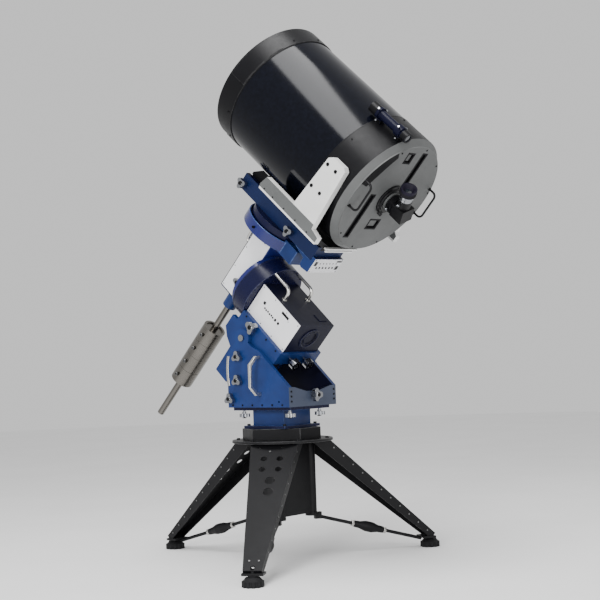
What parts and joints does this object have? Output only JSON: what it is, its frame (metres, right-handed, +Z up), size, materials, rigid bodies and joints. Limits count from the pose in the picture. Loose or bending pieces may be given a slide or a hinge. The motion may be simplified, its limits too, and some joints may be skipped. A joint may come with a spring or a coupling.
{
  "type": "equatorial telescope mount",
  "caption": "German equatorial mount on a folded-plate tripod with wedge, polar and declination drives, counterweights, saddle and a large closed-tube telescope.",
  "frame": {"origin": "centre of the tripod on the floor, on the azimuth axis", "axes": "+Z up; +X to the south side of the mount, so the polar axis leans up towards -X; +Y towards the side away from the clamp knobs"},
  "size_m": [1.6863, 1.3502, 2.4084],
  "materials": {
    "blue_paint": "satin blue anodised and painted plate",
    "navy_paint": "satin dark blue paint",
    "black_paint": "satin black powder coat",
    "black_alloy": "black anodised",
    "panel_white": "white satin sheet",
    "steel": "turned bare steel",
    "silver_alloy": "milled clear anodised plate",
    "chrome": "polished",
    "cast_grey": "light grey painted casting",
    "tube_navy": "very dark satin paint",
    "bronze": "machined bronze",
    "knob": "polished lobes with black centre caps",
    "rubber": "moulded rubber",
    "plastic": "black moulded plastic",
    "optic": "coated glass"
  },
  "bodies": {
    "tripod": {"column": "black_paint", "top_plate": "black_paint", "hub": "black_alloy", "legs": "black_paint", "tripod_screws": "steel", "tie_rods": "black_paint", "pier": "blue_paint"},
    "azimuth": {"wedge": "blue_paint", "wedge_fittings": "chrome", "pivot_bolts": "chrome"},
    "latitude": {"rocker": "blue_paint", "ra_box": "navy_paint", "ra_panel": "panel_white", "ra_handles": "chrome", "ra_housing": "navy_paint"},
    "polar": {"ra_axis": "bronze", "dec_housing": "blue_paint", "dec_panel": "panel_white", "dec_handle": "chrome", "dec_ring": "blue_paint", "counterweight_shaft": "steel"},
    "declination": {"dec_axis": "navy_paint", "saddle": "blue_paint", "control_box": "navy_paint", "control_panel": "panel_white"},
    "telescope": {"cradle": "silver_alloy", "cradle_base": "black_alloy", "tube": "tube_navy", "front_cell": "black_alloy", "rear_cell": "cast_grey", "rear_handles": "black_paint", "optics": "optic", "finder": "navy_paint"},
    "turnbuckle_a": {"turnbuckle_a": "black_paint"},
    "turnbuckle_b": {"turnbuckle_b": "black_paint"},
    "turnbuckle_c": {"turnbuckle_c": "black_paint"},
    "foot_a": {"foot_a": "rubber"},
    "foot_b": {"foot_b": "rubber"},
    "foot_c": {"foot_c": "rubber"},
    "azimuth_knob_a": {"azimuth_knob_a": "knob"},
    "azimuth_knob_b": {"azimuth_knob_b": "knob"},
    "azimuth_knob_c": {"azimuth_knob_c": "knob"},
    "azimuth_knob_d": {"azimuth_knob_d": "knob"},
    "latitude_knob_a": {"latitude_knob_a": "knob"},
    "latitude_knob_b": {"latitude_knob_b": "knob"},
    "corner_knob": {"corner_knob": "knob"},
    "latitude_screw": {"latitude_screw": "knob"},
    "clutch_knob": {"clutch_knob": "knob"},
    "round_knob_a": {"round_knob_a": "knob"},
    "round_knob_b": {"round_knob_b": "knob"},
    "ra_worm": {"ra_worm": "steel"},
    "dec_knob": {"dec_knob": "knob"},
    "dec_worm": {"dec_worm": "steel"},
    "weight_a": {"weight_a": "steel"},
    "weight_b": {"weight_b": "steel"},
    "weight_c": {"weight_c": "steel"},
    "weight_d": {"weight_d": "steel"},
    "saddle_knob_a": {"saddle_knob_a": "knob"},
    "saddle_knob_b": {"saddle_knob_b": "knob"},
    "diagonal": {"diagonal": "plastic"}
  },
  "joints": [
    {"name": "turnbuckle_a_turn", "type": "hinge", "parent": "tripod", "child": "turnbuckle_a", "pos_m": [-0.412, 0, 0.1154], "axis": [-0.9641, 0, -0.2656], "continuous": true},
    {"name": "foot_a_level", "type": "slide", "parent": "tripod", "child": "foot_a", "axis": [0, 0, 1], "range_m": [-0.01, 0]},
    {"name": "turnbuckle_b_turn", "type": "hinge", "parent": "tripod", "child": "turnbuckle_b", "pos_m": [0.206, -0.3568, 0.1154], "axis": [0.482, -0.8349, -0.2656], "continuous": true},
    {"name": "foot_b_level", "type": "slide", "parent": "tripod", "child": "foot_b", "axis": [0, 0, 1], "range_m": [-0.01, 0]},
    {"name": "turnbuckle_c_turn", "type": "hinge", "parent": "tripod", "child": "turnbuckle_c", "pos_m": [0.206, 0.3568, 0.1154], "axis": [0.482, 0.8349, -0.2656], "continuous": true},
    {"name": "foot_c_level", "type": "slide", "parent": "tripod", "child": "foot_c", "axis": [0, 0, 1], "range_m": [-0.01, 0]},
    {"name": "azimuth_turn", "type": "hinge", "parent": "tripod", "child": "azimuth", "pos_m": [0, 0, 0.7005], "axis": [0, 0, 1], "range_deg": [-8, 8]},
    {"name": "azimuth_knob_a_turn", "type": "hinge", "parent": "azimuth", "child": "azimuth_knob_a", "pos_m": [-0.139, -0.104, 0.68], "axis": [0, 0, 1], "continuous": true},
    {"name": "azimuth_knob_b_turn", "type": "hinge", "parent": "azimuth", "child": "azimuth_knob_b", "pos_m": [0.139, 0.104, 0.68], "axis": [0, 0, 1], "continuous": true},
    {"name": "azimuth_knob_c_turn", "type": "hinge", "parent": "azimuth", "child": "azimuth_knob_c", "pos_m": [0.139, -0.104, 0.68], "axis": [0, 0, 1], "continuous": true},
    {"name": "azimuth_knob_d_turn", "type": "hinge", "parent": "azimuth", "child": "azimuth_knob_d", "pos_m": [-0.139, 0.104, 0.68], "axis": [0, 0, 1], "continuous": true},
    {"name": "latitude_knob_a_turn", "type": "hinge", "parent": "azimuth", "child": "latitude_knob_a", "pos_m": [-0.101, -0.18, 0.933], "axis": [0, -1, 0], "continuous": true},
    {"name": "latitude_knob_b_turn", "type": "hinge", "parent": "azimuth", "child": "latitude_knob_b", "pos_m": [-0.105, -0.18, 0.824], "axis": [0, -1, 0], "continuous": true},
    {"name": "corner_knob_turn", "type": "hinge", "parent": "azimuth", "child": "corner_knob", "pos_m": [-0.154, -0.18, 0.741], "axis": [0, -1, 0], "continuous": true},
    {"name": "latitude_screw_turn", "type": "hinge", "parent": "azimuth", "child": "latitude_screw", "pos_m": [0.2, 0, 0.75], "axis": [1, 0, 0], "continuous": true},
    {"name": "latitude_tilt", "type": "hinge", "parent": "azimuth", "child": "latitude", "pos_m": [-0.083, 0, 1.018], "axis": [0, 1, 0], "range_deg": [-12, 12]},
    {"name": "clutch_knob_turn", "type": "hinge", "parent": "latitude", "child": "clutch_knob", "pos_m": [-0.01852, -0.15, 1.06333], "axis": [0, -1, 0], "continuous": true},
    {"name": "round_knob_a_turn", "type": "hinge", "parent": "latitude", "child": "round_knob_a", "pos_m": [0.10501, -0.048, 0.91485], "axis": [0.7193, 0, -0.6947], "continuous": true},
    {"name": "round_knob_b_turn", "type": "hinge", "parent": "latitude", "child": "round_knob_b", "pos_m": [0.10501, 0.048, 0.91485], "axis": [0.7193, 0, -0.6947], "continuous": true},
    {"name": "ra_turn", "type": "hinge", "parent": "latitude", "child": "polar", "pos_m": [-0.06037, 0, 1.23304], "axis": [-0.7193, 0, 0.6947], "range_deg": [-90, 90]},
    {"name": "ra_worm_turn", "type": "hinge", "parent": "latitude", "child": "ra_worm", "pos_m": [-0.15907, 0, 1.13372], "axis": [0, 1, 0], "range_deg": [-20250, 20250]},
    {"name": "dec_knob_turn", "type": "hinge", "parent": "polar", "child": "dec_knob", "pos_m": [-0.16089, -0.08, 1.27866], "axis": [0, -1, 0], "continuous": true},
    {"name": "dec_turn", "type": "hinge", "parent": "polar", "child": "declination", "pos_m": [0.0139, 0, 1.5158], "axis": [0.6947, 0, 0.7193], "range_deg": [-180, 180]},
    {"name": "dec_worm_turn", "type": "hinge", "parent": "polar", "child": "dec_worm", "pos_m": [0.11877, 0, 1.42287], "axis": [0, 1, 0], "range_deg": [-40500, 40500]},
    {"name": "weight_d_slide", "type": "slide", "parent": "polar", "child": "weight_d", "axis": [0.6947, 0, 0.7193], "range_m": [-0.06, 0.12]},
    {"name": "weight_c_slide", "type": "slide", "parent": "weight_d", "child": "weight_c", "axis": [0.6947, 0, 0.7193], "range_m": [-0.04, 0]},
    {"name": "weight_b_slide", "type": "slide", "parent": "weight_c", "child": "weight_b", "axis": [0.6947, 0, 0.7193], "range_m": [-0.04, 0]},
    {"name": "weight_a_slide", "type": "slide", "parent": "weight_b", "child": "weight_a", "axis": [0.6947, 0, 0.7193], "range_m": [-0.04, 0]},
    {"name": "saddle_knob_a_turn", "type": "hinge", "parent": "declination", "child": "saddle_knob_a", "pos_m": [-0.07715, -0.13145, 1.73162], "axis": [0.0376, -0.9986, -0.0364], "continuous": true},
    {"name": "saddle_knob_b_turn", "type": "hinge", "parent": "declination", "child": "saddle_knob_b", "pos_m": [0.17643, -0.11298, 1.48674], "axis": [0.0376, -0.9986, -0.0364], "continuous": true},
    {"name": "telescope_balance", "type": "slide", "parent": "declination", "child": "telescope", "axis": [-0.7184, -0.0523, 0.6937], "range_m": [-0.04, 0.04]},
    {"name": "diagonal_turn", "type": "hinge", "parent": "telescope", "child": "diagonal", "pos_m": [0.67823, 0.02355, 1.55683], "axis": [-0.7184, -0.0523, 0.6937], "range_deg": [-60, 150]}
  ],
  "couplings": [
    {"joint": "ra_worm_turn", "follows": "ra_turn", "ratio": 225},
    {"joint": "dec_worm_turn", "follows": "dec_turn", "ratio": 225}
  ]
}
